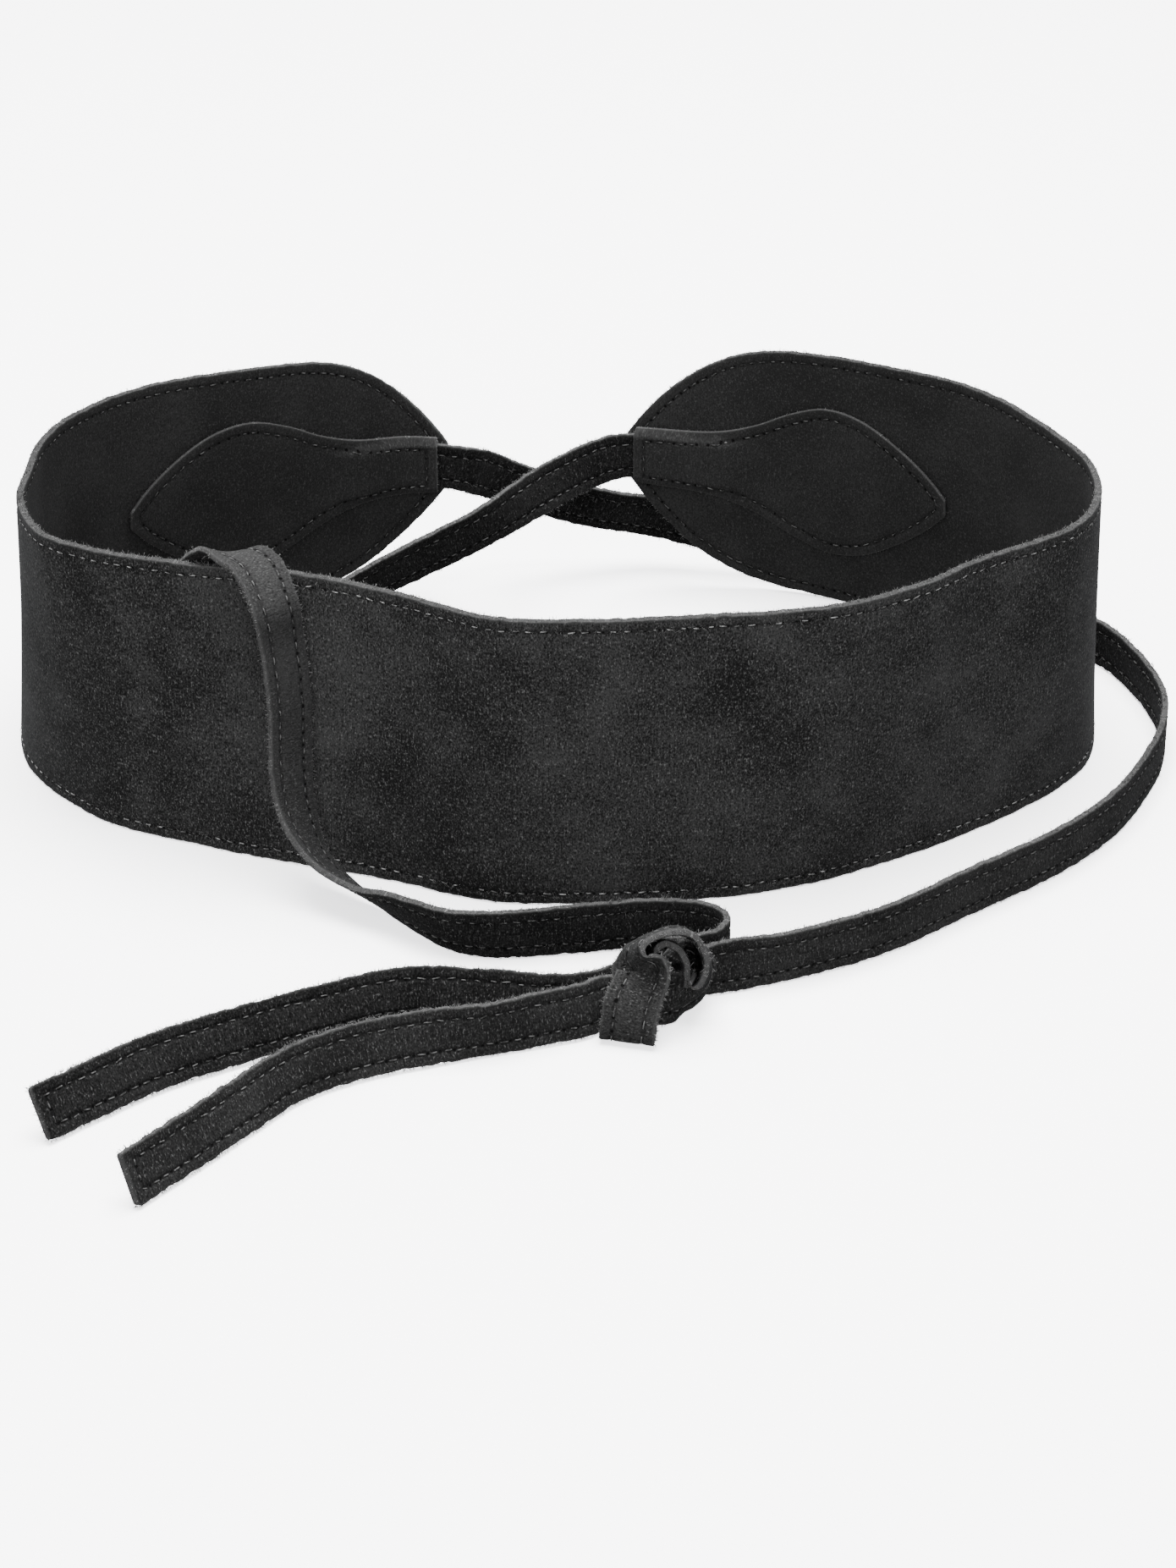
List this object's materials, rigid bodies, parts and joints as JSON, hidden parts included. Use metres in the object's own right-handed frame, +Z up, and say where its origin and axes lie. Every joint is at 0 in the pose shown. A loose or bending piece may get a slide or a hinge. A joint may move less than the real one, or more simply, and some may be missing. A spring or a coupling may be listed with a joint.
{
  "type": "wide suede waist belt with long tie ends",
  "caption": "Wide waist band standing as an open ring, with leaf-shaped inner patches and long flat ties knotted in front.",
  "frame": {"origin": "on the surface that the belt stands on, under the middle of the band's box", "axes": "+Z up, +X along the band's longer way, to the right seen from the front, +Y from the front to the open back"},
  "size_m": [0.3214, 0.3523, 0.0875],
  "materials": {
    "band_suede": "charcoal suede, soft nap, with a light fuzzy cut edge and one row of grey thread stitches",
    "patch_suede": "flat black suede, one row of stitches inside its edge",
    "tie_suede": "charcoal suede strap of two skins, one row of stitches along each edge"
  },
  "bodies": {
    "root": {"band": "band_suede", "patch_left": "patch_suede", "patch_right": "patch_suede", "tie_left": "tie_suede", "tie_right": "tie_suede"}
  },
  "joints": []
}
